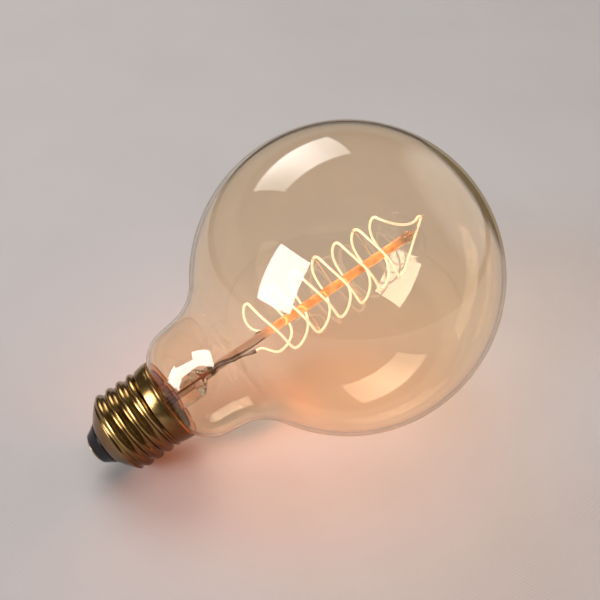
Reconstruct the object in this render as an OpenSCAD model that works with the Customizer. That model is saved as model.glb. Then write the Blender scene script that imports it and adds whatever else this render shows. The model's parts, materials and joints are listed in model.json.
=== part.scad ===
// Globe lamp with a screw cap and a spiral wire filament, lying on its side on the globe and the cap.
// Each piece is drawn along the lamp's own axis, with z = 0 at the contact tip and +z towards the globe,
// and is then laid down by one placement.

/* [Globe] */
// Radius of the blown globe, outside
globe_r = 47.5; // [43:0.5:62]
// Thickness of the blown glass
glass_t = 0.8; // [0.6:0.1:1.2]
// Radius of the neck, outside, where its shoulder's curve would stand upright
neck_r = 18.5; // [16:0.1:20]
// Slope of the neck's sides between its two curves, in degrees
taper = 7; // [4:0.5:10]
// Length of the plain tapered neck
neck_len = 5.3; // [1:0.1:8]
// Radius of the hollow curve from neck to globe
neck_fillet = 14; // [12:0.5:18]
// Radius of the shoulder from the neck down into the cap
shoulder_r = 12.5; // [12:0.5:14]
// Clearance between the glass and the collar at the collar's rim
rim_gap = 0.18; // [0.12:0.02:0.4]
// How far inside the collar's surface the glass end stands
tail_in = 2.2; // [2.1:0.05:2.5]
// How far the glass end reaches down from the collar's rim
tail_len = 6.9; // [6:0.1:8]

/* [Stem] */
// Radius of the stem's tube, outside
stem_r = 5.2; // [4.6:0.1:6]
// Wall of the stem's tube
stem_t = 0.9; // [0.7:0.1:1.2]
// Height at which the tube starts to be pinched
pinch_z = 36.5; // [34:0.5:38]
// Height of the top of the pinched press
press_top = 44.5; // [42:0.5:47]
// Width of the press
press_w = 10.6; // [9.6:0.2:11]
// Thickness of the press
press_t = 3.6; // [3.4:0.1:4.4]
// Length of the press that has its full flat form
press_flat = 3.5; // [2:0.25:4.5]
// Radius of the exhaust tube, outside
exhaust_r = 1.9; // [1.6:0.1:2]
// Wall of the exhaust tube
exhaust_t = 0.6; // [0.4:0.1:0.7]
// Height of the sealed tip of the exhaust tube
exhaust_z = 13.5; // [12:0.5:18]
// Radius of the central glass rod
rod_r = 1.4; // [1.1:0.1:1.5]
// Height of the far end of the rod
rod_top = 116.8; // [114:0.4:119]
// Radius of the button at the far end of the rod
button_r = 1.9; // [1.7:0.1:2.4]
// Distance of the first lead's end from the axis, on the upper side
top_a_out = 1.4; // [1:0.1:2]
// Distance of the second lead's end from the axis, on the lower side
top_b_out = 2.7; // [2:0.1:3.5]
// How far the second lead's end stands below the first bend
top_b_drop = 3.8; // [3:0.1:4.5]
// Depth to which wires are sealed into the glass of the rod
wire_seat = 0.9; // [0.6:0.1:0.9]

/* [Wires] */
// Radius of the inner lead wires
lead_r = 0.4; // [0.3:0.05:0.5]
// Radius of the seal wires in the press
seal_r = 0.3; // [0.2:0.05:0.35]
// Radius of the outer lead wires inside the cap
outer_r = 0.12; // [0.08:0.01:0.13]
// Radius of the fuse link
fuse_r = 0.08; // [0.05:0.01:0.1]
// Length of the fuse link
fuse_len = 6; // [4:0.5:8]
// Radius of the support wires
support_r = 0.2; // [0.15:0.05:0.3]
// Distance of each lead from the axis at the press
lead_off = 2.7; // [2.5:0.1:3]
// Clearance between a wire and the hole that it sits in
wire_gap = 0.02; // [0.01:0.01:0.04]

/* [Filament] */
// Radius of the filament's loops
loop_r = 9.8; // [8.5:0.1:11]
// Radius of the coiled filament wire
fil_r = 0.4; // [0.3:0.05:0.5]
// Height of the first bend on the upper side
first_bend = 61.2; // [60:0.2:63]
// Height gained in the first half turn
half_rise = 9; // [8:0.1:9.4]
// Height by which each further half turn is shorter
half_fall = 0.4; // [0.2:0.05:0.5]
// Half turns of each strand, from its lead to the top hook
half_turns = 6; // [4:1:6]
// Sideways shift of the loops from the rod
loop_shift = 0.9; // [0:0.1:1.4]
// Lean of the loops towards the globe on the upper side, in degrees
loop_lean = 8; // [0:1:12]
// Lean of the loops towards the globe on the hidden side, in degrees
loop_swing = 8; // [0:1:10]
// How far the runs on the hidden side bend towards an S
bend_bulge = 1.2; // [0:0.1:2]
// How much wider each bend is than that of a plain spiral
bend_round = 0.6; // [0:0.1:1]
// How far the straight runs between bends stand towards the globe
run_shift = 0.6; // [0:0.1:1]
// How far the second strand's first bend stands towards the globe
late_start = 4; // [0:0.5:5]
// How much narrower the second strand's first bend is
narrow_start = 2; // [0:0.2:3]
// Height of the top hook's eye
hook_z = 121.8; // [120:0.2:124]
// Distance of the top hook's eye from the axis
hook_off = 2.6; // [1:0.2:4]

/* [Cap] */
// Radius of the plain collar
collar_r = 13.3; // [12.9:0.05:13.9]
// How far the crests of the rolled thread stand inside the collar's surface
crest_in = 0.15; // [0:0.05:0.3]
// Depth of the rolled thread
thread_depth = 1.05; // [0.9:0.05:1.1]
// Pitch of the rolled thread
pitch = 3.63; // [3.4:0.01:3.8]
// Height of the first crest on the upper side
crest_z = 10.3; // [10:0.1:10.8]
// Number of grooves between the first crest and the collar
grooves = 4; // [3:1:4]
// Height of the collar's rim
rim_z = 27.7; // [27:0.1:28.6]
// Thickness of the brass sheet
sheet_t = 0.4; // [0.3:0.05:0.45]
// Height of the brass edge round the insulator
edge_z = 4.7; // [4.3:0.1:5.1]
// How far the brass edge round the insulator stands inside the crests
edge_in = 6.05; // [5.5:0.05:6.4]
// How much the cap's end bulges between that edge and the first crest
end_bulge = 0.2; // [0:0.05:0.4]
// Radius of the insulator at its outer face
insulator_r = 5.2; // [4.8:0.1:5.6]
// Rounding of the insulator's outer edge
edge_round = 0.7; // [0.3:0.05:0.9]
// Radius of the contact plate
contact_r = 3.9; // [3.4:0.1:4.2]
// Thickness of the contact plate
contact_t = 0.6; // [0.4:0.1:0.8]
// Radius of the flat top of the contact's solder
solder_r = 1.5; // [1.2:0.1:1.8]
// Height of the solder above the contact plate
solder_h = 0.4; // [0.3:0.05:0.5]
// Thickness of the insulator inside the cap
insulator_deep = 3; // [2.4:0.2:3.4]
// How far the cement reaches down from the collar's rim
cement_len = 3.4; // [3:0.1:3.5]

/* [Fit] */
// Clearance between neighbouring pieces
gap = 0.03; // [0.02:0.01:0.05]
// Turn of the upper bends about the lamp's axis, in degrees
bend_turn = 137.4; // [120:0.2:150]

/* [Hidden] */
$fn = 64;
eps = 0.01;

// Directions across the axis: towards the upper bends, and across them
up_dir = [cos(bend_turn), sin(bend_turn), 0];
side_dir = [-sin(bend_turn), cos(bend_turn), 0];

// Thread form: equal arcs at crest and root
arc_r = ((pitch / 2) * (pitch / 2) + thread_depth * thread_depth) / (4 * thread_depth);
crest_r = collar_r - crest_in;
root_r = crest_r - thread_depth;
edge_r = crest_r - edge_in;
thread_cols = 36;
thread_rows_per_pitch = 10;
lap = 0.12;
fit = 0.1;
facet_turn = 180 / thread_cols;
ramp_z = crest_z + (grooves - 0.5) * pitch - 0.6;
ramp_len = 1.3;
lap_top = ramp_z + ramp_len + 0.5;
collar_low = ramp_z + ramp_len - 0.1;
cement_z = rim_z - cement_len;

// Glass: the shoulder passes the collar's rim with its clearance, and the globe stands on the neck's curve
tail_z = rim_z - tail_len;
tail_r = collar_r - tail_in;
rim_reach = collar_r - sheet_t - rim_gap - neck_r + shoulder_r;
shoulder_z = rim_z + sqrt(shoulder_r * shoulder_r - rim_reach * rim_reach);
taper_out = [cos(taper), -sin(taper)];
shoulder_at = [neck_r - shoulder_r, shoulder_z];
fillet_at = shoulder_at + (shoulder_r + neck_fillet) * taper_out + neck_len * [sin(taper), cos(taper)];
globe_z = fillet_at[1]
    + sqrt((globe_r + neck_fillet) * (globe_r + neck_fillet) - fillet_at[0] * fillet_at[0]);

// Distance from the nearest crest, along the axis
function from_crest(z, a) = let (s = (z - crest_z - pitch * (a - bend_turn) / 360) / pitch)
    abs(s - round(s)) * pitch;
function thread_radius(s) = s < pitch / 4
    ? crest_r - arc_r + sqrt(arc_r * arc_r - s * s)
    : root_r + arc_r - sqrt(arc_r * arc_r - (pitch / 2 - s) * (pitch / 2 - s));
function smooth(t) = let (u = min(1, max(0, t))) u * u * (3 - 2 * u);
function ramp_radius(z) = root_r + (collar_r - lap - root_r) * smooth((z - ramp_z) / ramp_len);
function end_radius(z) = let (u = (z - edge_z) / (crest_z - edge_z))
    edge_r + (crest_r + sheet_t - edge_r) * (u + end_bulge * u * (1 - u));
function body_radius(z, a) = max(thread_radius(from_crest(z, a)), ramp_radius(z));
function shell_radius(z, a) = z < crest_z ? min(end_radius(z), body_radius(z, a)) : body_radius(z, a);

// Lying placement: the floor touches the globe and the lowest crest of the cap
probe = [for (z = [edge_z : 0.2 : rim_z - 0.2]) [z, z < lap_top ? shell_radius(z, 0) : collar_r]];
tilt = min([for (p = probe) asin(globe_r / norm([globe_z - p[0], p[1]])) - atan2(p[1], globe_z - p[0])]);
// Cap end towards -X: height, radius and rounding of each edge that may stand out furthest
face_z = solder_h + contact_t;
tip_edges = [
    [0, solder_r, 0],
    [solder_h + contact_t / 2, contact_r - contact_t / 2, contact_t / 2],
    [face_z + edge_round, insulator_r - edge_round, edge_round]
];
low_x = min([for (p = tip_edges) (p[0] - globe_z) * cos(tilt) - p[1] * sin(tilt) - p[2]]);
place_x = -(globe_r + low_x) / 2;

module lying() {
    translate([place_x, 0, globe_r])
        rotate([0, 90 - tilt, 0])
            translate([0, 0, -globe_z])
                children();
}

// Straight round wire between two points, and the same in a row with a ball at the bend
module straight(p, q, r) {
    d = q - p;
    translate(p)
        rotate([0, acos(d[2] / norm(d)), atan2(d[1], d[0])])
            cylinder(h = norm(d), r = r, $fn = 24);
}
module bent_once(p, q, s, r) {
    straight(p, q, r);
    straight(q, s, r);
    translate(q) sphere(r = r * 1.04, $fn = 24);
}
// Points of a wire with its corners rounded off by a reach along each side
function rounded(points, reach) = concat([points[0]],
    flat([for (i = [1 : len(points) - 2])
        let (a = points[i] + unit(points[i - 1] - points[i]) * reach,
            b = points[i] + unit(points[i + 1] - points[i]) * reach)
            [for (t = [0, 0.25, 0.5, 0.75, 1]) bezier(a, points[i], b, t)]]),
    [points[len(points) - 1]]);

// Half section of the glass envelope, taken in by a depth from its outside
module envelope_section(inset) {
    low = shoulder_at + (shoulder_r - inset) * taper_out;
    high = fillet_at - (neck_fillet + inset) * taper_out;
    intersection() {
        translate([0, tail_z - (inset > 0 ? 1 : 0)]) square([2 * globe_r, 4 * globe_r]);
        union() {
            translate([0, globe_z]) circle(r = globe_r - inset, $fn = 128);
            difference() {
                polygon([[0, high[1]], high, fillet_at, [0, globe_z]]);
                translate(fillet_at) circle(r = neck_fillet + inset, $fn = 96);
            }
            polygon([[0, low[1] - 1], low, high, [0, high[1] + 1]]);
            intersection() {
                translate(shoulder_at) circle(r = shoulder_r - inset, $fn = 96);
                square([neck_r, low[1]]);
            }
            square([neck_r - shoulder_r, low[1]]);
            translate([0, tail_z - 1]) square([tail_r - inset, tail_top(inset) - tail_z + 1 + eps]);
        }
    }
}
// Height at which the shoulder meets the straight glass end
function tail_top(inset) = let (r = tail_r - inset - neck_r + shoulder_r, s = shoulder_r - inset)
    shoulder_z - sqrt(s * s - r * r);

module globe_envelope() {
    color([0.86, 0.62, 0.38, 0.45])
        rotate_extrude($fn = 128)
            difference() {
                envelope_section(0);
                envelope_section(glass_t);
            }
}

// Flared tube, fused to the glass end of the envelope
flare_z = tail_z - gap;
curl_at = tail_r - glass_t;
curl_r = curl_at - stem_r;
module stem_flare() {
    color([0.8, 0.85, 0.86, 0.5])
        rotate_extrude($fn = 96) {
            translate([stem_r - stem_t, flare_z + curl_r - eps])
                square([stem_t, pinch_z - flare_z - curl_r + eps]);
            translate([curl_at - eps, flare_z - stem_t]) square([glass_t + eps, stem_t]);
            difference() {
                intersection() {
                    translate([curl_at, flare_z + curl_r]) circle(r = curl_r + stem_t, $fn = 96);
                    translate([0, flare_z - stem_t]) square([curl_at, curl_r + stem_t]);
                }
                translate([curl_at, flare_z + curl_r]) circle(r = curl_r, $fn = 96);
            }
        }
}

// Directions of the two leads, across the flat of the press
function lead_at(sign, z) = side_dir * lead_off * sign + [0, 0, z];

// The two rounded edges of the flat press
module press_edges(height) {
    rotate([0, 0, bend_turn + 90])
        for (x = [-1, 1])
            translate([x * (press_w - press_t) / 2, 0, press_top - press_flat])
                cylinder(h = height, r = press_t / 2, $fn = 24);
}
module press_blank() {
    hull() {
        translate([0, 0, pinch_z + gap]) cylinder(h = eps, r = stem_r, $fn = 48);
        press_edges(eps);
    }
    hull() press_edges(press_flat);
}
lead_seat = 2;
rod_seat = 2.5;
module stem_press() {
    color([0.78, 0.8, 0.78, 0.6])
        difference() {
            press_blank();
            for (s = [-1, 1])
                translate(lead_at(s, 0)) {
                    cylinder(h = press_top + 1, r = seal_r + wire_gap, $fn = 32);
                    translate([0, 0, press_top - lead_seat])
                        cylinder(h = lead_seat + 1, r = lead_r + wire_gap, $fn = 32);
                }
            translate([0, 0, press_top - rod_seat])
                cylinder(h = rod_seat + 1, r = rod_r + wire_gap, $fn = 48);
            translate([0, 0, pinch_z - 1])
                cylinder(h = exhaust_seat + 1, r = exhaust_r + wire_gap, $fn = 48);
        }
}

exhaust_seat = 2;
module exhaust_tube() {
    top = pinch_z + exhaust_seat - gap;
    color([0.82, 0.86, 0.86, 0.55])
        rotate_extrude($fn = 48)
            difference() {
                union() {
                    translate([0, exhaust_z + exhaust_r]) square([exhaust_r, top - exhaust_z - exhaust_r]);
                    intersection() {
                        translate([0, exhaust_z + exhaust_r]) circle(r = exhaust_r, $fn = 48);
                        translate([0, exhaust_z]) square([exhaust_r, exhaust_r + eps]);
                    }
                }
                translate([-eps, exhaust_z + exhaust_r])
                    square([exhaust_r - exhaust_t + eps, top - exhaust_z]);
            }
}

// Point of a strand after n half turns from its first bend; sign tells the two strands apart
function rise(n) = first_bend + half_rise * n - half_fall * n * n / 2;
function strand(n, sign) =
    let (turn = 180 * n,
        late = sign < 0 ? smooth(1 - n) : 0,
        r = loop_r - late * narrow_start,
        out = sign * cos(turn) * r,
        near = sign * sin(turn) * r,
        bulge = sin(2 * turn) * (bend_round - bend_bulge * sign * sin(turn))
            + run_shift * (1 - cos(2 * turn)))
    up_dir * (loop_shift + out) + side_dir * near
        + [0, 0, rise(n) + late * late_start + bulge + out * tan(loop_lean) - near * tan(loop_swing)];
// Supports stand under every bend but the last, on alternating sides
support_bends = [for (n = [1 : half_turns - 1]) n];
function support_end(n) = let (p = strand(n, -1), r = norm([p[0], p[1]]))
    [p[0] * (r - fil_r - 2 * gap) / r, p[1] * (r - fil_r - 2 * gap) / r, p[2]];
function support_start(n) = let (p = support_end(n), r = norm([p[0], p[1]]))
    [p[0] * (rod_r - wire_seat) / r, p[1] * (rod_r - wire_seat) / r, p[2]];

module arbor_rod() {
    low = press_top - rod_seat + gap;
    color([0.93, 0.62, 0.36, 0.7])
        difference() {
            union() {
                translate([0, 0, low]) cylinder(h = rod_top - button_r - low, r = rod_r, $fn = 48);
                translate([0, 0, rod_top - button_r]) sphere(r = button_r, $fn = 48);
            }
            for (n = support_bends) straight(support_start(n), support_end(n), support_r + wire_gap);
            translate([0, 0, rod_top - button_r])
                cylinder(h = 2 * button_r, r = support_r + wire_gap, $fn = 32);
        }
}

module filament_supports() {
    color([0.5, 0.48, 0.47])
        for (n = support_bends)
            straight(support_start(n) * 0.99 + support_end(n) * 0.01, support_end(n), support_r);
}

// Apex of the filament, and the hooked wire that carries it from the button of the rod
apex = up_dir * hook_off + [0, 0, hook_z];
module top_hook() {
    foot = [0, 0, rod_top - button_r + gap];
    knee = [0, 0, rod_top + 6 * support_r];
    eye_half = 5.5 * support_r;
    seat = apex - [0, 0, fil_r + support_r + gap];
    color([0.5, 0.48, 0.47])
        tube(rounded([foot, knee, seat - side_dir * eye_half, seat + side_dir * eye_half,
            seat + side_dir * (eye_half + support_r) + [0, 0, 6.5 * support_r]], 2 * support_r),
            support_r, 8);
}

// Filament: up one strand, over the hook and down the other, as one unbroken wire
lead_a_top = up_dir * top_a_out - side_dir * (lead_off + lead_r) + [0, 0, first_bend + lead_r];
lead_b_top = -up_dir * top_b_out + side_dir * (lead_off + lead_r / 2) + [0, 0, first_bend - top_b_drop];
// Lengths and directions of the curves that lead into and out of the strands
start_a = up_dir * fil_r * 9 - [0, 0, fil_r * 12.5];
start_b = up_dir * fil_r * 1.5 + [0, 0, fil_r * 8.5];
end_a = side_dir * fil_r * 1.5 - up_dir * fil_r * 6.5 - [0, 0, fil_r * 12];
end_b = -up_dir * fil_r * 8 - [0, 0, fil_r * 11];
saddle = up_dir * fil_r * 1.5;
saddle_drop = [0, 0, fil_r * 1.375];
steps = 24;
end_turns = 0.2;
function bezier(a, b, c, t) = a * (1 - t) * (1 - t) + b * 2 * t * (1 - t) + c * t * t;
function cubic(a, b, c, d, t) = bezier(a, b, c, t) * (1 - t) + bezier(b, c, d, t) * t;
function strand_points(sign) =
    [for (i = [0 : steps / 2 * (half_turns + end_turns)]) strand(i * 2 / steps, sign)];
function start_points(lead, lead_dir, sign) = let (p = strand(0, sign), q = strand(2 / steps, sign))
    [for (i = [0 : 8]) cubic(lead, lead + lead_dir, p - (q - p) * 2.2, p, i / 9)];
function over_points(list, reach, last, last_dir) = let (n = len(list) - 1, p = list[n], q = list[n - 1])
    [for (i = [1 : 9]) cubic(p, p + unit(p - q) * reach, last + last_dir, last, i / 9)];
function reversed(list) = [for (i = [len(list) - 1 : -1 : 0]) list[i]];
strand_a = concat(start_points(lead_a_top, start_a, 1), strand_points(1));
strand_b = concat(start_points(lead_b_top, start_b, -1), strand_points(-1));
over_a = over_points(strand_a, fil_r * 11.25, apex + saddle - saddle_drop, end_a);
over_b = over_points(strand_b, fil_r * 7.5, apex - saddle - saddle_drop, end_b);
fil_path = concat(strand_a, over_a, [apex], reversed(over_b), reversed(strand_b));

function unit(v) = v / norm(v);
function tangent(path, i) = unit(path[min(i + 1, len(path) - 1)] - path[max(i - 1, 0)]);
// Sideways direction carried along the path, so that the tube does not twist
function carried(path) = [
    for (i = 0, n = unit(cross(tangent(path, 0), [0.3, 0.2, 0.9])); i < len(path);
        i = i + 1,
        n = i < len(path) ? let (t = tangent(path, i)) unit(n - t * (n * t)) : n)
        n
];
function flat(list) = [for (a = list) each a];
module tube(path, r, sides) {
    normals = carried(path);
    last = len(path) - 1;
    turn = 360 / sides;
    points = flat([for (i = [0 : last]) let (n = normals[i], b = cross(tangent(path, i), n))
        [for (k = [0 : sides - 1]) path[i] + (n * cos(turn * k) + b * sin(turn * k)) * r]]);
    walls = flat([for (i = [0 : last - 1], k = [0 : sides - 1])
        let (a = i * sides + k, b = i * sides + (k + 1) % sides, c = a + sides, d = b + sides)
            [[a, c, d], [a, d, b]]]);
    low = [for (k = [1 : sides - 2]) [0, k, k + 1]];
    high = [for (k = [1 : sides - 2]) [last * sides, last * sides + k + 1, last * sides + k]];
    polyhedron(points, concat(walls, low, high), convexity = 20);
}
module filament() {
    color([1.0, 0.86, 0.6]) tube(fil_path, fil_r, 6);
}
// Least distance between stretches of the filament that are more than a third of a loop apart
near = steps / 3;
fil_gap = min([for (i = [0 : len(fil_path) - 1 - near], j = [i + near : len(fil_path) - 1])
    norm(fil_path[i] - fil_path[j])]) - 2 * fil_r;
echo(filament_rings = len(fil_path), filament_gap = fil_gap, tilt = tilt);

// Inner leads: from the press to the ends of the filament
function lead_path(sign, top) = let (foot = lead_at(sign, press_top - lead_seat + gap))
    [foot, foot + [0, 0, lead_seat + 1.5], top];
function shortened(p, q, d) = q - unit(q - p) * d;
module inner_lead(sign, top, start) {
    path = lead_path(sign, shortened(start, top, fil_r));
    color([0.55, 0.45, 0.36]) bent_once(path[0], path[1], path[2], lead_r);
}
module inner_lead_a() {
    inner_lead(-1, lead_a_top, strand_a[1]);
}
module inner_lead_b() {
    inner_lead(1, lead_b_top, strand_b[1]);
}

// Seal wires: through the glass of the press and down inside the stem
seal_low = 30.5;
module seal_wire(sign) {
    color([0.55, 0.22, 0.14])
        translate(lead_at(sign, seal_low))
            cylinder(h = press_top - lead_seat - seal_low, r = seal_r, $fn = 24);
}
module seal_wire_a() {
    seal_wire(-1);
}
module seal_wire_b() {
    seal_wire(1);
}

// Outer leads inside the cap: one to the collar's rim, one by the fuse link to the contact
spot_z = rim_z - 1.4;
side_run = (tail_r + (root_r - sheet_t) * cos(facet_turn)) / 2;
module outer_lead_side() {
    low = flare_z - stem_t - 1;
    color([0.8, 0.45, 0.28])
        tube(rounded([lead_at(-1, seal_low - gap), lead_at(-1, low + 1), -side_dir * side_run + [0, 0, low],
            -side_dir * side_run + [0, 0, spot_z], -side_dir * (collar_r + 0.3) + [0, 0, spot_z]], 0.5),
            outer_r, 8);
}
fuse_low = seal_low - gap - fuse_len;
module fuse_link() {
    color([0.75, 0.75, 0.78]) straight(lead_at(1, fuse_low), lead_at(1, seal_low - gap), fuse_r);
}
module outer_lead_centre() {
    color([0.8, 0.45, 0.28])
        tube(rounded([lead_at(1, fuse_low - gap), lead_at(1, exhaust_z - 1), [0, 0, insulator_top + 1.5],
            [0, 0, solder_h + contact_t / 2]], 0.5), outer_r, 8);
}

// Brass shell: rolled thread and end as one sheet, with a plain turned collar
function shell_rows() = let (n = ceil((lap_top - edge_z) / pitch * thread_rows_per_pitch))
    [for (i = [0 : n]) edge_z + (lap_top - edge_z) * i / n];
module rolled_sheet() {
    rows = shell_rows();
    n = len(rows) - 1;
    c = thread_cols;
    grid = flat([for (inner = [0, 1]) flat([for (z = rows) [for (j = [0 : c - 1])
        let (a = 360 * j / c, r = shell_radius(z, a) - inner * sheet_t) [r * cos(a), r * sin(a), z]]])]);
    m = (n + 1) * c;
    walls = flat([for (i = [0 : n - 1], j = [0 : c - 1])
        let (a = i * c + j, b = i * c + (j + 1) % c, d = a + c, e = b + c)
            [[a, d, e], [a, e, b], [m + a, m + e, m + d], [m + a, m + b, m + e]]]);
    low = flat([for (j = [0 : c - 1]) let (a = j, b = (j + 1) % c) [[a, b, m + b], [a, m + b, m + a]]]);
    high = flat([for (j = [0 : c - 1]) let (a = n * c + j, b = n * c + (j + 1) % c)
        [[a, m + b, b], [a, m + a, m + b]]]);
    polyhedron(grid, concat(walls, low, high), convexity = 20);
}
module screw_shell() {
    color([0.72, 0.53, 0.26]) {
        rolled_sheet();
        difference() {
            rotate_extrude($fn = 96)
                translate([collar_r - sheet_t, collar_low]) square([sheet_t, rim_z - collar_low]);
            side_wire_hole();
        }
    }
}
// Hole by which the side wire leaves the collar
module side_wire_hole() {
    straight(-side_dir * side_run + [0, 0, spot_z], -side_dir * (collar_r + 2) + [0, 0, spot_z],
        outer_r + wire_gap);
}

// Cement between the glass end and the collar
module basing_cement() {
    outer = (collar_r - lap - sheet_t) * cos(facet_turn) - fit;
    color([0.42, 0.3, 0.2])
        difference() {
            rotate_extrude($fn = 96)
                difference() {
                    translate([tail_r - 1, cement_z]) square([outer - tail_r + 1, rim_z - 0.3 - cement_z]);
                    envelope_section(-gap);
                }
            side_wire_hole();
            translate(-side_dir * side_run + [0, 0, cement_z - 1])
                cylinder(h = spot_z - cement_z + 1 + outer_r, r = outer_r + wire_gap, $fn = 24);
        }
}

// Black glass insulator, moulded into the end of the shell
insulator_top = edge_z + insulator_deep;
module base_insulator() {
    centre = [insulator_r - edge_round, face_z + edge_round];
    outer = [edge_r - fit, edge_z - fit];
    lean = outer - centre;
    touch_turn = atan2(lean[1], lean[0]) - acos(edge_round / norm(lean));
    touch = centre + edge_round * [cos(touch_turn), sin(touch_turn)];
    color([0.09, 0.09, 0.11])
        rotate_extrude($fn = 96)
            difference() {
                union() {
                    polygon([[0, face_z], [centre[0], face_z], centre, touch, outer, [0, outer[1]]]);
                    polygon([[0, edge_z - fit - eps], [edge_r - sheet_t - fit, edge_z - fit - eps],
                        [edge_r - sheet_t - fit, edge_z],
                        [end_radius(insulator_top) - sheet_t - fit, insulator_top], [0, insulator_top]]);
                    translate(centre) circle(r = edge_round, $fn = 48);
                }
                square([outer_r + wire_gap, 2 * insulator_top]);
                translate([-2 * insulator_r, 0]) square([2 * insulator_r, 2 * insulator_top]);
            }
}

module centre_contact() {
    color([0.78, 0.6, 0.32])
        rotate_extrude($fn = 96)
            difference() {
                union() {
                    translate([0, solder_h]) square([contact_r - contact_t / 2, contact_t - gap]);
                    translate([0, solder_h + contact_t / 2]) square([contact_r, contact_t / 2 - gap]);
                    translate([contact_r - contact_t / 2, solder_h + contact_t / 2])
                        circle(r = contact_t / 2, $fn = 32);
                }
                square([outer_r + wire_gap, 2 * face_z]);
                translate([0, face_z - gap]) square([contact_r + 1, 1]);
            }
}

module contact_solder() {
    color([0.72, 0.73, 0.74])
        cylinder(h = solder_h - gap, r1 = solder_r, r2 = solder_r + solder_h, $fn = 64);
}

module side_solder() {
    color([0.72, 0.73, 0.74])
        difference() {
            translate(-side_dir * (collar_r - 1.2) + [0, 0, spot_z]) sphere(r = 1.8, $fn = 48);
            cylinder(h = 2 * rim_z, r = collar_r + gap, $fn = 96);
            straight([0, 0, spot_z], -side_dir * (collar_r + 0.35) + [0, 0, spot_z], outer_r + wire_gap);
        }
}

lying() {
    globe_envelope();
    stem_flare();
    stem_press();
    exhaust_tube();
    arbor_rod();
    top_hook();
    filament_supports();
    filament();
    inner_lead_a();
    inner_lead_b();
    seal_wire_a();
    seal_wire_b();
    outer_lead_side();
    outer_lead_centre();
    fuse_link();
    screw_shell();
    basing_cement();
    base_insulator();
    centre_contact();
    contact_solder();
    side_solder();
}
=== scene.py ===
import json
import math

import bmesh
import bpy
from mathutils import Matrix, Vector


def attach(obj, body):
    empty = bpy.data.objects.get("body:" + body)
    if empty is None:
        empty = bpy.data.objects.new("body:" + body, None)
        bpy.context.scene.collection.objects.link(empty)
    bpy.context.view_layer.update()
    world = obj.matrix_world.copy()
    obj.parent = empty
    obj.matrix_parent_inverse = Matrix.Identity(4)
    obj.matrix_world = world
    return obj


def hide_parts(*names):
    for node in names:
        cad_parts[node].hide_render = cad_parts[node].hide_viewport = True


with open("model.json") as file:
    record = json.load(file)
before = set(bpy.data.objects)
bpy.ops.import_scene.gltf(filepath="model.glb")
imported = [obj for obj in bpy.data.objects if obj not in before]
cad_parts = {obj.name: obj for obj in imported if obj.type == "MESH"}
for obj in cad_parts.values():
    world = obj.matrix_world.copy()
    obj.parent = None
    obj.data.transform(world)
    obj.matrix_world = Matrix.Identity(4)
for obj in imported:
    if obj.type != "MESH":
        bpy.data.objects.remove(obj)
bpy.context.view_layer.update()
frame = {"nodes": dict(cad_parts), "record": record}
print("stage: the packed lamp is loaded")

# The lamp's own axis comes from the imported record: 0 at the contact tip, towards the globe, in millimetres
mounts = {mount["name"]: mount for mount in frame["record"]["mounts"]}
tipPoint = Vector(mounts["contact_face"]["pos_m"])
lampAxis = -Vector(mounts["contact_face"]["axis"]).normalized()
sideAxis = Vector((0, 1, 0))
downAxis = sideAxis.cross(lampAxis)

# Directions round the axis: towards the filament's upper bends, square to them, and along the axis itself
bendTurn = math.radians(137.4)
upDir = Vector((math.cos(bendTurn), math.sin(bendTurn), 0))
nearDir = Vector((-math.sin(bendTurn), math.cos(bendTurn), 0))
alongDir = Vector((0, 0, 1))

meshing = {"weldGap": 2e-7,  # metres
           "onAxis": 1e-6,  # millimetres
           "curveSteps": 12, "firstNormal": (0.31, 0.22, 0.92)}


def lampPoint(p):
    return tipPoint + (downAxis * p[0] + sideAxis * p[1] + lampAxis * p[2]) / 1000


def smoothStep(t):
    t = min(1.0, max(0.0, t))
    return t * t * (3 - 2 * t)


def arcPoints(middle, radius, start, end, count):
    out = []
    for k in range(count + 1):
        a = math.radians(start + (end - start) * k / count)
        out.append((middle[0] + radius * math.cos(a), middle[1] + radius * math.sin(a)))
    return out


def addPiece(name, shape, material, replaced, sharp):
    points, faces = shape
    mesh = bpy.data.meshes.new(name)
    mesh.from_pydata([lampPoint(p) for p in points], [], faces)
    work = bmesh.new()
    work.from_mesh(mesh)
    bmesh.ops.remove_doubles(work, verts=work.verts, dist=meshing["weldGap"])
    bmesh.ops.recalc_face_normals(work, faces=work.faces)
    work.to_mesh(mesh)
    work.free()
    for polygon in mesh.polygons:
        polygon.use_smooth = True
    mesh.set_sharp_from_angle(angle=math.radians(sharp))
    mesh.materials.append(material)
    piece = bpy.data.objects.new(name, mesh)
    bpy.context.scene.collection.objects.link(piece)
    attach(piece, "root")
    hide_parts(*replaced)


def ringFaces(rings, sides, first=0, closed=False):
    # four-cornered faces between rings of points, back to the first ring where the shape is closed
    faces = []
    for i in range(rings if closed else rings - 1):
        low, high = first + i * sides, first + (i + 1) % rings * sides
        for k in range(sides):
            m = (k + 1) % sides
            faces.append((low + k, low + m, high + m, high + k))
    return faces


def turned(profile, sides):
    # a closed profile of radius and height, turned round the axis
    points, faces, count = [], [], len(profile)
    for k in range(sides):
        a = 2 * math.pi * k / sides
        points += [(r * math.cos(a), r * math.sin(a), z) for r, z in profile]
    for k in range(sides):
        m = (k + 1) % sides
        for i in range(count):
            j = (i + 1) % count
            if max(profile[i][0], profile[j][0]) > meshing["onAxis"]:
                faces.append((k * count + i, k * count + j, m * count + j, m * count + i))
    return points, faces


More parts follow.
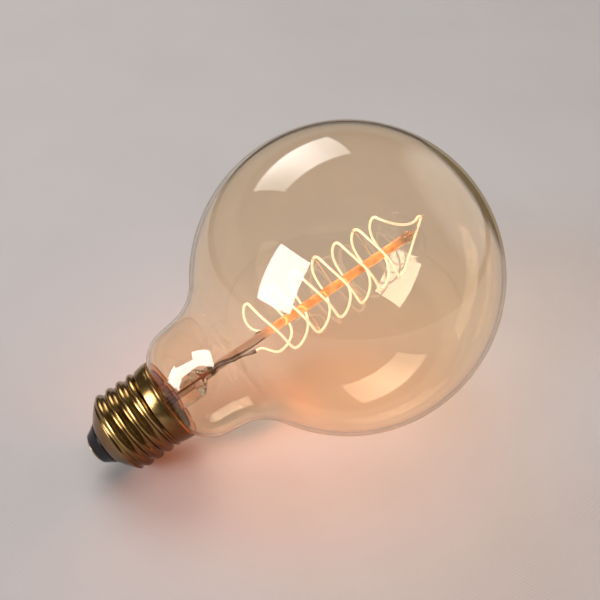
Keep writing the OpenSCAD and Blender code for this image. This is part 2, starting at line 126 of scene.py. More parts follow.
def drawnWire(path, radii, sides, groove=None):
    # groove = (depth, pitch) winds a fine coil into the wire's surface
    path = [Vector(p) for p in path]
    last = len(path) - 1
    normal, points, run = Vector(meshing["firstNormal"]), [], 0.0
    for i, p in enumerate(path):
        t = (path[min(i + 1, last)] - path[max(i - 1, 0)]).normalized()
        normal = (normal - t * normal.dot(t)).normalized()
        across = t.cross(normal)
        run += (p - path[i - 1]).length if i else 0
        for k in range(sides):
            a = 2 * math.pi * k / sides
            r = radii[i]
            if groove:
                r += groove[0] * math.cos(2 * math.pi * run / groove[1] - a)
            points.append(p + (normal * math.cos(a) + across * math.sin(a)) * r)
    faces = ringFaces(len(path), sides)
    faces.append(tuple(range(sides - 1, -1, -1)))
    faces.append(tuple(last * sides + k for k in range(sides)))
    return points, faces


def evenWire(path, radius, sides, groove=None):
    return drawnWire(path, [radius] * len(path), sides, groove)


def smoothPath(points, spacing):
    # an even run of points on a smooth curve through the given ones
    points = [Vector(p) for p in points]
    fine = []
    for i in range(len(points) - 1):
        before = points[max(i - 1, 0)]
        after = points[min(i + 2, len(points) - 1)]
        a, b = points[i], points[i + 1]
        for k in range(meshing["curveSteps"]):
            t = k / meshing["curveSteps"]
            fine.append(0.5 * ((2 * a) + (b - before) * t + (2 * before - 5 * a + 4 * b - after) * t * t
                               + (3 * a - before - 3 * b + after) * t * t * t))
    fine.append(points[-1])
    out, carry = [fine[0]], 0.0
    for i in range(1, len(fine)):
        step = (fine[i] - fine[i - 1]).length
        while step > 0 and carry + step >= spacing:
            move = (spacing - carry) / step
            fine[i - 1] = fine[i - 1].lerp(fine[i], move)
            out.append(fine[i - 1].copy())
            step = (fine[i] - fine[i - 1]).length
            carry = 0.0
        carry += step
    out.append(fine[-1])
    return out


# Nodes that materials, groups, lamps and the world are put together from

black = (0, 0, 0, 1)


def feed(tree, value, socket):
    # a plain value is set on the socket, and anything else is linked to it
    if isinstance(value, (int, float, tuple)):
        socket.default_value = value
    else:
        tree.links.new(value, socket)


def mathNode(tree, operation, first, second=0.0):
    node = tree.nodes.new("ShaderNodeMath")
    node.operation = operation
    feed(tree, first, node.inputs[0])
    feed(tree, second, node.inputs[1])
    return node.outputs[0]


def mixNode(tree, factor, first, second):
    mix = tree.nodes.new("ShaderNodeMix")
    mix.data_type = "RGBA"
    for label, value in (("Factor", factor), ("A", first), ("B", second)):
        feed(tree, value, mix.inputs[label])
    return mix.outputs["Result"]


def rangeNode(tree, value, reach, span=(0.0, 1.0), eased=True, clamp=True):
    # carries a reach of values over to a span, eased or evenly
    node = tree.nodes.new("ShaderNodeMapRange")
    node.interpolation_type = "SMOOTHSTEP" if eased else "LINEAR"
    node.clamp = clamp
    for label, end in zip(("From Min", "From Max", "To Min", "To Max"), (*reach, *span)):
        feed(tree, end, node.inputs[label])
    feed(tree, value, node.inputs["Value"])
    return node.outputs[0]


def noiseNode(tree, scale, detail, roughness=0.5):
    # clouds that keep their place on the object
    place = tree.nodes.new("ShaderNodeTexCoord")
    noise = tree.nodes.new("ShaderNodeTexNoise")
    noise.inputs["Detail"].default_value = detail
    noise.inputs["Roughness"].default_value = roughness
    feed(tree, scale, noise.inputs["Scale"])
    tree.links.new(place.outputs["Object"], noise.inputs["Vector"])
    return noise.outputs["Fac"]


def bumpNode(tree, height, strength, distance, under=None):
    bump = tree.nodes.new("ShaderNodeBump")
    bump.inputs["Strength"].default_value = strength
    bump.inputs["Distance"].default_value = distance
    tree.links.new(height, bump.inputs["Height"])
    if under is not None:
        tree.links.new(under, bump.inputs["Normal"])
    return bump.outputs["Normal"]


def sideReach(tree, direction, reach, start=(0, 0, 0), rise=None, coordinates="Object"):
    # how far a point lies to one side of the start, over a reach in metres: eased from 0 to 1,
    # or, with a rise, even and unlimited
    place = tree.nodes.new("ShaderNodeTexCoord")
    side = tree.nodes.new("ShaderNodeVectorMath")
    side.operation = "DOT_PRODUCT"
    side.inputs[1].default_value = direction
    tree.links.new(place.outputs[coordinates], side.inputs[0])
    offset = Vector(start).dot(Vector(direction))
    reach = [offset + end for end in reach]
    even = rise is not None
    span = (0.0, rise if even else 1.0)
    return rangeNode(tree, side.outputs["Value"], reach, span, eased=not even, clamp=not even)


# Shared effects, each built once as a node group and placed in the materials with their own values

tarnishAndShade = {"detail": 6, "roughness": 0.62, "patchReach": (0.42, 0.66), "hollowReach": (0.5, 0.44),
           "speckDetail": 3, "speckScale": 5.5, "speckReach": (0.58, 0.72), "speckShare": 0.2}
unevenness = {"detail": 5, "reach": (0.3, 0.7)}


def newGroup(name, inputs, outputs):
    # inputs give each socket's first value, and outputs its kind
    group = bpy.data.node_groups.new(name, "ShaderNodeTree")
    for label, value in inputs.items():
        kind = "NodeSocketColor" if isinstance(value, tuple) else "NodeSocketFloat"
        socket = group.interface.new_socket(label, in_out="INPUT", socket_type=kind)
        socket.default_value = value
    for label, kind in outputs.items():
        group.interface.new_socket(label, in_out="OUTPUT", socket_type=kind)
    given = group.nodes.new("NodeGroupInput")
    result = group.nodes.new("NodeGroupOutput")
    return group, given.outputs, result.inputs


def buildTarnishAndShade():
    # patchy darkening in hollows, worn off on ridges: tarnish, and in the filament's glow a painted shade in
    # the coil's grooves
    group, given, result = newGroup(
        "tarnishAndShadePatches",
        {"Bright": (0.8, 0.6, 0.3, 1), "Dull": (0.4, 0.25, 0.1, 1),
         "Scale": 300.0, "Amount": 0.5, "Hollows": 0.5},
        {"Color": "NodeSocketColor"})
    clouds = noiseNode(group, given["Scale"], tarnishAndShade["detail"], tarnishAndShade["roughness"])
    speckScale = mathNode(group, "MULTIPLY", given["Scale"], tarnishAndShade["speckScale"])
    spots = noiseNode(group, speckScale, tarnishAndShade["speckDetail"])
    geometry = group.nodes.new("ShaderNodeNewGeometry")
    hollow = rangeNode(group, geometry.outputs["Pointiness"], tarnishAndShade["hollowReach"], eased=False)
    patches = rangeNode(group, clouds, tarnishAndShade["patchReach"], eased=False)
    specks = rangeNode(group, spots, tarnishAndShade["speckReach"], eased=False)
    base = mathNode(group, "ADD", patches, mathNode(group, "MULTIPLY", specks, tarnishAndShade["speckShare"]))
    part = mathNode(group, "MULTIPLY", base, given["Amount"])
    deep = mathNode(group, "MULTIPLY", hollow, given["Hollows"])
    total = group.nodes.new("ShaderNodeClamp")
    group.links.new(mathNode(group, "ADD", part, deep), total.inputs["Value"])
    group.links.new(mixNode(group, total.outputs[0], given["Bright"], given["Dull"]), result["Color"])
    return group


def buildFineGrain():
    # small even unevenness for roughness and bump
    group, given, result = newGroup(
        "fineGrain",
        {"Scale": 900.0, "Low": 0.2, "High": 0.4},
        {"Value": "NodeSocketFloat", "Height": "NodeSocketFloat"})
    noise = noiseNode(group, given["Scale"], unevenness["detail"])
    spread = rangeNode(group, noise, unevenness["reach"], (given["Low"], given["High"]), eased=False)
    group.links.new(spread, result["Value"])
    group.links.new(noise, result["Height"])
    return group


tarnishAndShadePatches = buildTarnishAndShade()
fineGrain = buildFineGrain()


def placeGroup(tree, group, values):
    node = tree.nodes.new("ShaderNodeGroup")
    node.node_tree = group
    for label, value in values.items():
        node.inputs[label].default_value = value
    return node.outputs


def placeTarnishAndShade(tree, bright, dull, look):
    values = {"Bright": bright, "Dull": dull, "Scale": look["scale"],
              "Amount": look["amount"], "Hollows": look["hollows"]}
    return placeGroup(tree, tarnishAndShadePatches, values)["Color"]


def newMaterial(name):
    material = bpy.data.materials.new(name)
    material.use_nodes = True
    tree = material.node_tree
    return material, tree, tree.nodes["Principled BSDF"]


def offCloth(tree, color):
    # a glow that the cloth doesn't gather, as the glow lamps light it
    path = tree.nodes.new("ShaderNodeLightPath")
    return mixNode(tree, path.outputs["Diffuse Depth"], color, black)


# Metals, cement and black glass: tarnish for the colour, with a painted shade on the brass, fine grain for
# the gloss

grainDepth = 0.0001  # metres


def paintedCapShade(tree, color, look):
    # painted shade: one side of the cap and, less, the tip's end are darkened towards brown
    paintedShade = sideReach(tree, look["paintedShadeSide"], look["paintedShadeReach"], tipPoint)
    low = sideReach(tree, lampAxis, look["paintedEndShade"], tipPoint)
    low = mathNode(tree, "MULTIPLY", low, look["paintedEndShadeDepth"])
    return mixNode(tree, mathNode(tree, "MAXIMUM", paintedShade, low), color, look["paintedShade"])


def tarnishedMaterial(name, look):
    material, tree, shader = newMaterial(name)
    shader.inputs["Metallic"].default_value = look["metallic"]
    if "specular" in look:
        shader.inputs["Specular IOR Level"].default_value = look["specular"]
    color = placeTarnishAndShade(tree, look["bright"], look["dull"], look)
    # a painted shade, for the looks that ask for it
    if "paintedShade" in look:
        color = paintedCapShade(tree, color, look)
    tree.links.new(color, shader.inputs["Base Color"])
    low, high = look["rough"]
    grain = placeGroup(tree, fineGrain, {"Scale": look["grain"], "Low": low, "High": high})
    tree.links.new(grain["Value"], shader.inputs["Roughness"])
    tree.links.new(bumpNode(tree, grain["Height"], look["bump"], grainDepth), shader.inputs["Normal"])
    return material


# brass: tarnish, and a painted shade in brown on one side of the cap and at its end
brassLook = {"metallic": 1.0, "bright": (0.52, 0.36, 0.14, 1), "dull": (0.15, 0.068, 0.021, 1),
             "scale": 110, "amount": 0.8, "hollows": 0.8, "grain": 900, "rough": (0.2, 0.26), "bump": 0.02,
             "paintedShade": (0.17, 0.075, 0.03, 1), "paintedShadeSide": (0.218, -0.866, -0.45),
             "paintedShadeReach": (0.004, 0.0125), "paintedEndShade": (0.0135, 0.006), "paintedEndShadeDepth": 0.85}
contactLook = {"metallic": 1.0, "bright": (0.5, 0.37, 0.2, 1), "dull": (0.22, 0.14, 0.07, 1),
               "scale": 400, "amount": 0.6, "hollows": 0.6, "grain": 3000,
               "rough": (0.25, 0.42), "bump": 0.15}
solderLook = {"metallic": 1.0, "bright": (0.72, 0.73, 0.74, 1), "dull": (0.38, 0.38, 0.39, 1),
              "scale": 700, "amount": 0.7, "hollows": 0.4, "grain": 1800, "rough": (0.28, 0.5), "bump": 0.5}
nickelLook = {"metallic": 1.0, "bright": (0.3, 0.2, 0.14, 1), "dull": (0.1, 0.06, 0.04, 1),
              "scale": 260, "amount": 0.9, "hollows": 0.2, "grain": 4000, "rough": (0.32, 0.5), "bump": 0.1}
supportLook = {"metallic": 0.6, "bright": (0.85, 0.62, 0.42, 1), "dull": (0.5, 0.3, 0.18, 1),
               "scale": 500, "amount": 0.6, "hollows": 0.2, "grain": 5000, "rough": (0.3, 0.45), "bump": 0.1}
sealLook = {"metallic": 0.7, "bright": (0.3, 0.11, 0.06, 1), "dull": (0.1, 0.03, 0.02, 1),
            "scale": 600, "amount": 0.7, "hollows": 0.2, "grain": 4000, "rough": (0.35, 0.5), "bump": 0.1}
copperLook = {"metallic": 1.0, "bright": (0.8, 0.45, 0.27, 1), "dull": (0.4, 0.18, 0.09, 1),
              "scale": 600, "amount": 0.5, "hollows": 0.2, "grain": 4000, "rough": (0.25, 0.4), "bump": 0.1}
blackGlassLook = {"metallic": 0.0, "bright": (0.008, 0.008, 0.01, 1), "dull": (0.022, 0.02, 0.022, 1),
                  "scale": 260, "amount": 0.5, "hollows": 0.2, "grain": 1500,
                  "rough": (0.06, 0.2), "bump": 0.08, "specular": 0.25}
cementLook = {"metallic": 0.0, "bright": (0.2, 0.17, 0.08, 1), "dull": (0.12, 0.1, 0.045, 1),
              "scale": 500, "amount": 0.8, "hollows": 0.3, "grain": 2500, "rough": (0.75, 0.95), "bump": 0.7}


# Glass: clear to shadow rays, so that lamps reach what is inside and the floor behind it

cloudDepth = 0.001  # metres


def paintedDarkRim(tree, facing, look):
    # painted shade: where the wall is seen edge on it is darkened, in a fine line and, on one side, in a
    # wide crescent
    line = rangeNode(tree, facing, look["lineReach"], (0.0, look["lineDepth"]))
    far = sideReach(tree, look["crescentSide"], look["crescentReach"], rise=look["crescentRise"])
    crescent = rangeNode(tree, mathNode(tree, "ADD", facing, far), look["crescentEdge"])
    return mathNode(tree, "MAXIMUM", line, crescent)


def addGlow(tree, shader, tint, look):
    # painted light: the rod glows warm between two heights on the lamp's axis, in uneven spots, as if lit by
    # the filament, and is cold outside them
    lower, upper = [sideReach(tree, lampAxis, reach, tipPoint) for reach in look["glowZone"]]
    zone = mathNode(tree, "MULTIPLY", lower, upper)
    spots = noiseNode(tree, look["glowScale"], look["detail"])
    contrast = rangeNode(tree, spots, look["glowContrast"], eased=False)
    glow = mixNode(tree, zone, black, mixNode(tree, contrast, look["glow"], look["glowDeep"]))
    tree.links.new(offCloth(tree, glow), shader.inputs["Emission Color"])
    tree.links.new(mixNode(tree, zone, look["tintCold"], tint), shader.inputs["Base Color"])
    shader.inputs["Emission Strength"].default_value = look["glowStrength"]


def glassMaterial(name, look):
    material, tree, shader = newMaterial(name)
    shader.inputs["Transmission Weight"].default_value = 1.0
    shader.inputs["IOR"].default_value = look["ior"]
    shader.inputs["Roughness"].default_value = look["rough"]
    cloud = noiseNode(tree, look["cloudScale"], look["detail"])
    facing = tree.nodes.new("ShaderNodeLayerWeight").outputs["Facing"]
    edge = rangeNode(tree, facing, (look["edgeFrom"], 1.0), eased=False)
    tint = mixNode(tree, edge, mixNode(tree, cloud, look["tintLight"], look["tintDeep"]), look["tintEdge"])
    tree.links.new(tint, shader.inputs["Base Color"])
    tree.links.new(bumpNode(tree, cloud, look["bump"], cloudDepth), shader.inputs["Normal"])
    clear = tree.nodes.new("ShaderNodeBsdfTransparent")
    clear.inputs["Color"].default_value = look["shadow"]
    through = tree.nodes.new("ShaderNodeLightPath").outputs["Is Shadow Ray"]
    # painted shade: a dark rim, seen through in a tinted colour
    if "paintedRimTint" in look:
        paintedRim = paintedDarkRim(tree, facing, look)
        tree.links.new(mixNode(tree, paintedRim, look["shadow"], look["paintedRimTint"]), clear.inputs["Color"])
        through = mathNode(tree, "MAXIMUM", through, paintedRim)
    either = tree.nodes.new("ShaderNodeMixShader")
    tree.links.new(through, either.inputs["Fac"])
    tree.links.new(shader.outputs["BSDF"], either.inputs[1])
    tree.links.new(clear.outputs["BSDF"], either.inputs[2])
    tree.links.new(either.outputs["Shader"], tree.nodes["Material Output"].inputs["Surface"])
    if "glow" in look:
        addGlow(tree, shader, tint, look)
    return material


# the amber globe's rim values paint its dark edge, a painted shade
amberGlassLook = {"ior": 1.5, "rough": 0.0, "cloudScale": 14, "detail": 2, "bump": 0.02, "edgeFrom": 0.7,
                  "tintLight": (1.0, 0.925, 0.8, 1), "tintDeep": (1.0, 0.885, 0.725, 1),
                  "tintEdge": (0.8, 0.7, 0.55, 1), "shadow": (0.95, 0.89, 0.84, 1),
                  "paintedRimTint": (0.76, 0.71, 0.6, 1), "lineReach": (0.82, 0.9), "lineDepth": 0.8,
                  "crescentSide": (0.783, -0.191, 0.591), "crescentReach": (0.04246, 0.08996),
                  "crescentRise": 2.8, "crescentEdge": (3.25, 3.4)}
flareGlassLook = {"ior": 1.5, "rough": 0.0, "cloudScale": 60, "detail": 2, "bump": 0.1, "edgeFrom": 0.75,
                  "tintLight": (1.0, 0.94, 0.87, 1), "tintDeep": (1.0, 0.88, 0.78, 1),
                  "tintEdge": (0.75, 0.5, 0.36, 1), "shadow": (0.9, 0.85, 0.8, 1)}
clearGlassLook = {"ior": 1.5, "rough": 0.02, "cloudScale": 90, "detail": 2, "bump": 0.15, "edgeFrom": 0.4,
                  "tintLight": (0.97, 0.94, 0.9, 1), "tintDeep": (0.93, 0.88, 0.82, 1),
                  "tintEdge": (0.45, 0.28, 0.18, 1), "shadow": (0.9, 0.9, 0.88, 1)}
# the rod's warm tints and its glow are painted light from the filament, and tintCold is its colour away from
# it
rodGlassLook = {"ior": 1.5, "rough": 0.1, "cloudScale": 160, "detail": 2, "bump": 0.2, "edgeFrom": 0.4,
                "tintLight": (0.95, 0.6, 0.36, 1), "tintDeep": (0.85, 0.4, 0.2, 1),
                "tintEdge": (0.85, 0.4, 0.16, 1), "tintCold": (0.8, 0.62, 0.5, 1),
                "shadow": (0.9, 0.75, 0.6, 1), "glow": (1.0, 0.44, 0.15, 1),
                "glowDeep": (0.22, 0.045, 0.008, 1), "glowScale": 240, "glowContrast": (0.38, 0.62),
                "glowStrength": 0.5, "glowZone": ((0.06, 0.067), (0.117, 0.108))}


# The filament glows by itself, a little cooler in patches, and a painted shade cools its coil's grooves

filamentLook = {"hot": (1.0, 0.82, 0.62, 1), "cooler": (1.0, 0.66, 0.42, 1), "strength": 0.8, "rough": 0.5,
                "scale": 90, "amount": 0.35, "hollows": 0.7}


def glowingMaterial(name, look):
    material, tree, shader = newMaterial(name)
    # patches of cooler glow, and a painted shade in the coil's grooves
    color = placeTarnishAndShade(tree, look["hot"], look["cooler"], look)
    shader.inputs["Metallic"].default_value = 1.0
    shader.inputs["Roughness"].default_value = look["rough"]
    tree.links.new(color, shader.inputs["Base Color"])
    tree.links.new(offCloth(tree, color), shader.inputs["Emission Color"])
    shader.inputs["Emission Strength"].default_value = look["strength"]
    return material


amberGlass = glassMaterial("amberGlass", amberGlassLook)
clearGlass = glassMaterial("clearGlass", clearGlassLook)
flareGlass = glassMaterial("flareGlass", flareGlassLook)
rodGlass = glassMaterial("rodGlass", rodGlassLook)
brass = tarnishedMaterial("brass", brassLook)
contactBrass = tarnishedMaterial("contactBrass", contactLook)
solder = tarnishedMaterial("solder", solderLook)
nickelWire = tarnishedMaterial("nickelWire", nickelLook)
supportWire = tarnishedMaterial("supportWire", supportLook)
sealWire = tarnishedMaterial("sealWire", sealLook)
copperWire = tarnishedMaterial("copperWire", copperLook)
blackGlass = tarnishedMaterial("blackGlass", blackGlassLook)
cement = tarnishedMaterial("cement", cementLook)
glowingTungsten = glowingMaterial("glowingTungsten", filamentLook)
print("stage: materials are built")

# The blown globe, its neck and the end that goes into the cap, as one thin wall
globe = {"radius": 47.5, "wall": 0.8, "neck": 18.5, "taper": 7.5, "neckLength": 5.35, "fillet": 14.5,
         "shoulder": 12.5, "rimRadius": 12.72, "rimAt": 27.7, "tail": 11.1, "tailAt": 20.8,
         "sides": 192, "tailSteps": 4, "bendSteps": 24, "ballSteps": 84}
taperSine, taperCosine = math.sin(math.radians(globe["taper"])), math.cos(math.radians(globe["taper"]))
rimOff = globe["rimRadius"] - globe["neck"] + globe["shoulder"]
shoulderR = globe["neck"] - globe["shoulder"]
shoulderZ = globe["rimAt"] + math.sqrt(globe["shoulder"] ** 2 - rimOff ** 2)
bends = globe["shoulder"] + globe["fillet"]
filletR = shoulderR + bends * taperCosine + globe["neckLength"] * taperSine
filletZ = shoulderZ - bends * taperSine + globe["neckLength"] * taperCosine
globeMiddle = filletZ + math.sqrt((globe["radius"] + globe["fillet"]) ** 2 - filletR ** 2)


def glassOutline(inset):
    # tail, shoulder, fillet and ball, each arc meeting the next one smoothly
    reach = globe["shoulder"] - inset
    tail = globe["tail"] - inset
    turn = math.degrees(math.acos((tail - shoulderR) / reach))
    meet = math.degrees(math.atan2(globeMiddle - filletZ, filletR))
    tailLength = shoulderZ - reach * math.sin(math.radians(turn)) - globe["tailAt"]
    steps, bendSteps, taper = globe["tailSteps"], globe["bendSteps"], globe["taper"]
    line = [(tail, globe["tailAt"] + tailLength * k / steps) for k in range(steps)]
    line += arcPoints((shoulderR, shoulderZ), reach, -turn, -taper, bendSteps)
    line += arcPoints((filletR, filletZ), globe["fillet"] + inset, 180 - taper, 180 - meet, bendSteps)
    line += arcPoints((0, globeMiddle), globe["radius"] - inset, -meet, 90, globe["ballSteps"])[1:]
    line[-1] = (0.0, line[-1][1])
    return line


def makeGlobe():
    shape = turned(glassOutline(0) + glassOutline(globe["wall"])[::-1], globe["sides"])
    addPiece("glassGlobe", shape, amberGlass, ("globe_envelope",), 60)


makeGlobe()

# The stem: flared tube, exhaust tube, pinched press and the rod that carries the filament
stem = {"radius": 5.2, "wall": 0.9, "rimAt": 20.77, "pinchAt": 36.53, "gap": 0.03,
        "curlSteps": 18, "sides": 96}
exhaust = {"radius": 1.9, "wall": 0.6, "tipAt": 13.5, "intoPress": 1.9,
           "outerSteps": 10, "innerSteps": 8, "sides": 40}
press = {"top": 44.5, "width": 10.6, "thick": 3.6, "flat": 3.5, "edge": 0.8, "crown": 0.05,
         "roundPower": 2, "flatPower": 1.2, "rows": 24, "sides": 64}
rod = {"radius": 1.4, "from": 42.0, "top": 116.8, "button": 1.9, "buttonNeck": 1.7, "buttonFrom": -40,
       "waver": 0.05, "waverRates": (0.9, 0.23), "rows": 60, "buttonSteps": 14, "sides": 40}


def makeFlare():
    curlAt = globe["tail"] - globe["wall"]
    curl = curlAt - stem["radius"]
    middle = (curlAt, stem["rimAt"] + curl)
    end = stem["pinchAt"] - stem["gap"]
    profile = [(globe["tail"], stem["rimAt"])]
    profile += arcPoints(middle, curl, 270, 180, stem["curlSteps"])
    profile += [(stem["radius"], end), (stem["radius"] - stem["wall"], end)]
    profile += arcPoints(middle, curl + stem["wall"], 180, 270, stem["curlSteps"])
    profile += [(globe["tail"], stem["rimAt"] - stem["wall"])]
    shape = turned(profile, stem["sides"])
    addPiece("flaredTube", shape, flareGlass, ("stem_flare",), 50)


def makeExhaust():
    r, w = exhaust["radius"], exhaust["wall"]
    middle = exhaust["tipAt"] + r
    end = stem["pinchAt"] + exhaust["intoPress"]
    profile = arcPoints((0, middle), r, 270, 360, exhaust["outerSteps"])
    profile += [(r, end), (r - w, end), (r - w, middle)]
    profile += arcPoints((0, middle), r - w, 0, -90, exhaust["innerSteps"])[1:]
    shape = turned(profile, exhaust["sides"])
    addPiece("exhaustTube", shape, clearGlass, ("exhaust_tube",), 60)


def makePress():
    # rows of rounded outlines that go from the round tube to the flat bar
    points, low, high = [(0, 0, stem["pinchAt"])], stem["pinchAt"], press["top"]
    flatFrom = high - press["flat"]
    for row in range(press["rows"] + 1):
        z = low + (high - low) * row / press["rows"]
        t = smoothStep((z - low) / (flatFrom - low))
        edge = max(0.0, z - high + press["edge"])
        inset = press["edge"] - math.sqrt(max(0.0, press["edge"] ** 2 - edge * edge))
        wide = stem["radius"] + (press["width"] / 2 - stem["radius"]) * t - inset
        thick = stem["radius"] + (press["thick"] / 2 - stem["radius"]) * t - inset
        power = press["roundPower"] + press["flatPower"] * t
        for k in range(press["sides"]):
            a = 2 * math.pi * k / press["sides"]
            c, s = math.cos(a), math.sin(a)
            x = wide * math.copysign(abs(c) ** (2 / power), c)
            y = thick * math.copysign(abs(s) ** (2 / power), s)
            p = nearDir * x + upDir * y
            points.append((p.x, p.y, z))
    points.append((0, 0, high + press["crown"]))
    faces = ringFaces(press["rows"] + 1, press["sides"], first=1)
    end = 1 + press["rows"] * press["sides"]
    for k in range(press["sides"]):
        m = (k + 1) % press["sides"]
        faces.append((0, 1 + m, 1 + k))
        faces.append((len(points) - 1, end + k, end + m))
    addPiece("pinchedPress", (points, faces), clearGlass, ("stem_press",), 60)


def makeRod():
    straight = rod["top"] - rod["button"] * rod["buttonNeck"] - rod["from"]
    fast, slow = rod["waverRates"]
    profile = [(0, rod["from"])]
    for k in range(rod["rows"] + 1):
        z = rod["from"] + straight * k / rod["rows"]
        profile.append((rod["radius"] + rod["waver"] * math.sin(z * fast) * math.sin(z * slow), z))
    middle = (0, rod["top"] - rod["button"])
    profile += arcPoints(middle, rod["button"], rod["buttonFrom"], 90, rod["buttonSteps"])
    profile[-1] = (0.0, rod["top"])
    shape = turned(profile, rod["sides"])
    addPiece("carrierRod", shape, rodGlass, ("arbor_rod",), 60)


makeFlare()
makeExhaust()
makePress()
makeRod()
print("stage: glass is made")

# The filament: two strands of one wire, wound round the rod and carried over the top hook
winding = {"radius": 9.8, "wire": 0.36, "firstBend": 61.2, "halfRise": 9.0, "halfFall": 0.4, "halfTurns": 6,
           "shift": 0.9, "lean": 8.0, "swing": 8.0, "bulge": 1.2, "round": 0.6, "runShift": 0.6,
           "lateStart": 4.0, "narrowStart": 2.0, "endTurns": 0.2, "leadOff": 2.7, "hookAt": 121.8,
           "hookOff": 2.6, "coilPitch": 0.62, "coilDepth": 0.07, "coilSteps": 6, "sides": 8,
           "turnSteps": 12, "joinSteps": 9, "joinPull": 2.2}

# Where each strand leaves its lead, and which way its curve pulls there and at the hook
leadTopA = upDir * 1.4 - nearDir * (winding["leadOff"] + 0.4) + alongDir * (winding["firstBend"] + 0.4)
leadTopB = upDir * -2.7 + nearDir * (winding["leadOff"] + 0.2) + alongDir * (winding["firstBend"] - 3.8)
leadPullA, leadPullB = upDir * 3.6 - alongDir * 5, upDir * 0.6 + alongDir * 3.4
hookPullA, hookPullB = upDir * -2.6 + nearDir * 0.6 - alongDir * 4.8, upDir * -3.2 - alongDir * 4.4
endPullA, endPullB = 4.5, 3
apex = upDir * winding["hookOff"] + alongDir * winding["hookAt"]
besideHook, belowHook = upDir * 0.6, alongDir * 0.55


def strandPoint(n, sign):
    # n counts half turns from the first bend, and the sign tells the two strands apart
    w = winding
    turn = math.pi * n
    late = smoothStep(1 - n) if sign < 0 else 0.0
    r = w["radius"] - late * w["narrowStart"]
    out, near = sign * math.cos(turn) * r, sign * math.sin(turn) * r
    bulge = math.sin(2 * turn) * (w["round"] - w["bulge"] * sign * math.sin(turn))
    bulge += w["runShift"] * (1 - math.cos(2 * turn))
    z = (w["firstBend"] + w["halfRise"] * n - w["halfFall"] * n * n / 2 + late * w["lateStart"] + bulge
         + out * math.tan(math.radians(w["lean"])) - near * math.tan(math.radians(w["swing"])))
    return upDir * (w["shift"] + out) + nearDir * near + alongDir * z


def cubicPoint(a, b, c, d, t):
    return a * (1 - t) ** 3 + b * 3 * t * (1 - t) ** 2 + c * 3 * t * t * (1 - t) + d * t ** 3


def makeStrand(lead, leadPull, sign, endPull, last, hookPull):
    # off the lead, through the even bends, and over to the hook
    perTurn, joins = winding["turnSteps"], winding["joinSteps"]
    count = int(perTurn * (winding["halfTurns"] + winding["endTurns"]))
    run = [strandPoint(i / perTurn, sign) for i in range(count + 1)]
    into = run[0] - (run[1] - run[0]) * winding["joinPull"]
    first = [cubicPoint(lead, lead + leadPull, into, run[0], i / joins) for i in range(joins)]
    p, q = run[-1], run[-2]
    off = p + (p - q).normalized() * endPull
    over = [cubicPoint(p, off, last + hookPull, last, i / joins) for i in range(1, joins + 1)]
    return first + run + over


def makeFilament():
    strandA = makeStrand(leadTopA, leadPullA, 1, endPullA, apex + besideHook - belowHook, hookPullA)
    strandB = makeStrand(leadTopB, leadPullB, -1, endPullB, apex - besideHook - belowHook, hookPullB)
    path = smoothPath(strandA + [apex] + strandB[::-1], winding["coilPitch"] / winding["coilSteps"])
    wire = evenWire(path, winding["wire"], winding["sides"], (winding["coilDepth"], winding["coilPitch"]))
    addPiece("woundFilament", wire, glowingTungsten, ("filament",), 80)
    print("stage: filament has", len(path), "rings")
    return strandA, strandB


strandA, strandB = makeFilament()

# Inner leads with their clamped ends, the top hook, and the side supports with a curl round the strand
leads = {"radius": 0.4, "foot": 42.53, "upright": 2.0, "knee": 3.5, "bow": (0.35, 0.8), "overlap": 0.1,
         "clamp": 0.62, "clampLength": 2.2, "clampEase": 0.5, "endShare": 0.8, "spacing": 0.35, "sides": 16}
hook = {"radius": 0.2, "foot": 115.0, "exit": 117.4, "lean": 118.6, "leanOff": 0.5, "seat": 0.64,
        "bend": ((-1.1, 0), (0.5, 0), (1.2, 0.3), (1.3, 1.3)), "spacing": 0.2, "sides": 10}
supports = {"radius": 0.15, "foot": 0.6, "curlFrom": 1.6, "curl": 0.62, "curlStart": 200, "curlStep": 27,
            "curlPoints": 10, "slideStart": 0.12, "slide": 0.03, "beside": 0.02, "spacing": 0.2, "sides": 8}


def makeLead(name, sign, top, strand, node):
    # from the press up to the strand's end, which its clamp overlaps
    top = top + (top - strand[1]).normalized() * leads["overlap"]
    foot = nearDir * (winding["leadOff"] * sign) + alongDir * leads["foot"]
    knee = foot + alongDir * leads["knee"]
    low, high = leads["bow"]
    path = [foot, foot + alongDir * leads["upright"], knee, knee.lerp(top, low), knee.lerp(top, high), top]
    path = smoothPath(path, leads["spacing"])
    length = sum((path[i] - path[i - 1]).length for i in range(1, len(path)))
    radii, run = [], 0.0
    for i, p in enumerate(path):
        run += (p - path[i - 1]).length if i else 0
        grow = smoothStep((run - length + leads["clampLength"]) / leads["clampEase"])
        radii.append(leads["radius"] + (leads["clamp"] - leads["radius"]) * grow)
    radii[-1] *= leads["endShare"]
    addPiece(name, drawnWire(path, radii, leads["sides"]), nickelWire, (node,), 50)


def makeHook():
    # out of the rod, under the filament's top and up again on its other side
    seat = apex - alongDir * hook["seat"]
    path = [alongDir * hook["foot"], alongDir * hook["exit"]]
    path += [alongDir * hook["lean"] + upDir * hook["leanOff"]]
    path += [seat + nearDir * near + alongDir * along for near, along in hook["bend"]]
    wire = evenWire(smoothPath(path, hook["spacing"]), hook["radius"], hook["sides"])
    addPiece("topHook", wire, supportWire, ("top_hook",), 50)


